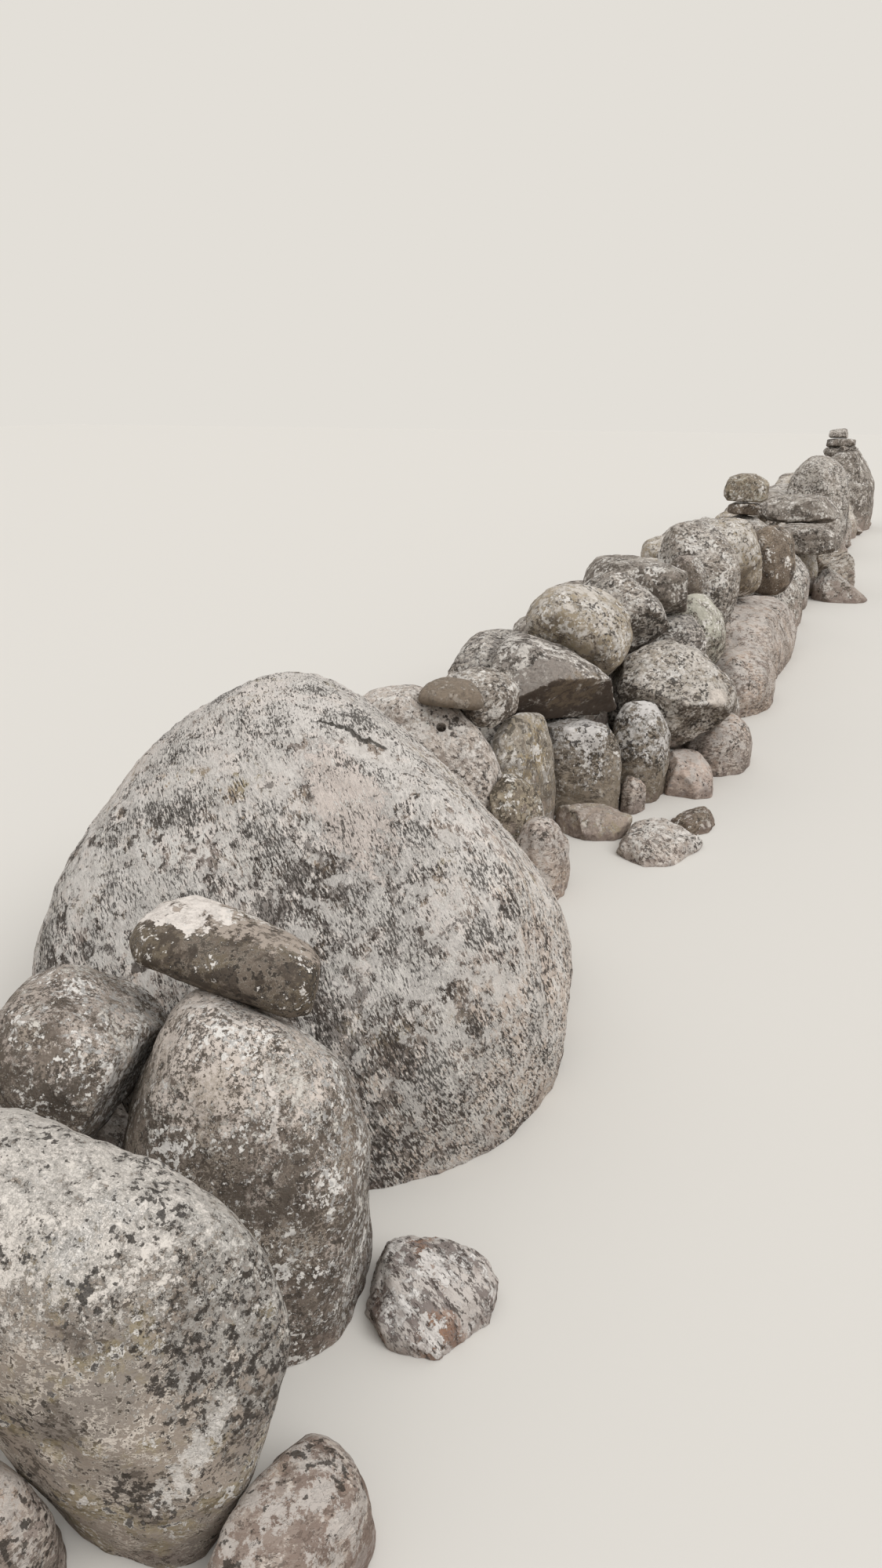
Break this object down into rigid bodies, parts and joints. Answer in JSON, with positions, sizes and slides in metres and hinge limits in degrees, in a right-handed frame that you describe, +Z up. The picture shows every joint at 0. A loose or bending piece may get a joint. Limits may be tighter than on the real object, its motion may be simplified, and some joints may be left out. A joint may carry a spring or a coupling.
{
  "type": "dry stone wall",
  "caption": "Dry stone wall of rounded fieldstone boulders laid without mortar, with a great boulder near one end and cap stones on top.",
  "frame": {"origin": "on the ground, under the middle of the run", "axes": "+X along the wall from the near end with the great boulder to the far end, +Y across it to the lawn side, +Z up"},
  "size_m": [14.7977, 1.5988, 1.109],
  "materials": {
    "grey_gneiss": "foliated grey gneiss, weathered, with crust lichen",
    "dark_granite": "dark weathered granite under pale crust lichen",
    "buff_granite": "coarse-grained buff granite with grey lichen",
    "clean_granite": "clean pinkish-brown granite dusted with soil",
    "pale_granite": "pale cream granite, lightly weathered",
    "split_quartz": "split white quartz with rust stains",
    "grey_granite": "grey granite, weathered, with white and pale green crust lichen",
    "yellow_lichen_granite": "granite under yellow-grey lichen",
    "blue_grey_granite": "blue-grey granite under white lichen",
    "brown_schist": "brown banded schist, weathered",
    "green_lichen_granite": "granite under pale green lichen"
  },
  "bodies": {
    "root": {"great_boulder": "grey_gneiss", "dark_boulder": "dark_granite", "near_boulder": "buff_granite", "near_footings": "clean_granite", "pale_back_stone": "pale_granite", "wedge_stone": "dark_granite", "loaf_stone": "dark_granite", "white_split_stone": "split_quartz", "drilled_boulder": "pale_granite", "lean_stone": "grey_granite", "pink_foot_stone": "clean_granite", "yellow_stone": "yellow_lichen_granite", "grey_shoulder_stones": "grey_granite", "square_block": "blue_grey_granite", "overhang_cap": "grey_granite", "egg_stone": "blue_grey_granite", "broad_boulder": "grey_granite", "round_cap": "grey_granite", "peaked_cap": "grey_granite", "slab_cap": "grey_granite", "foot_stones": "clean_granite", "round_footing": "clean_granite", "inner_footing": "grey_granite", "low_footing": "clean_granite", "long_footing": "grey_granite", "cairn_footing": "grey_granite", "far_footings": "grey_granite", "path_boulder": "grey_granite", "banded_stone": "brown_schist", "far_boulder": "grey_granite", "last_boulder": "grey_granite", "last_caps": "grey_granite", "flat_ground_stones": "pale_granite", "under_slab_stone": "grey_granite", "green_stone": "green_lichen_granite", "dark_filler": "dark_granite", "tall_boulder": "grey_granite", "twin_boulder": "grey_granite", "brown_boulder": "brown_schist", "cairn_base": "grey_granite", "cairn": "grey_granite", "lower_long_boulder": "grey_granite", "upper_long_boulder": "grey_granite", "lawn_footings_near": "grey_granite", "lawn_footings_far": "grey_granite", "lawn_uppers_near": "grey_granite", "lawn_uppers_far": "grey_granite"}
  },
  "joints": []
}
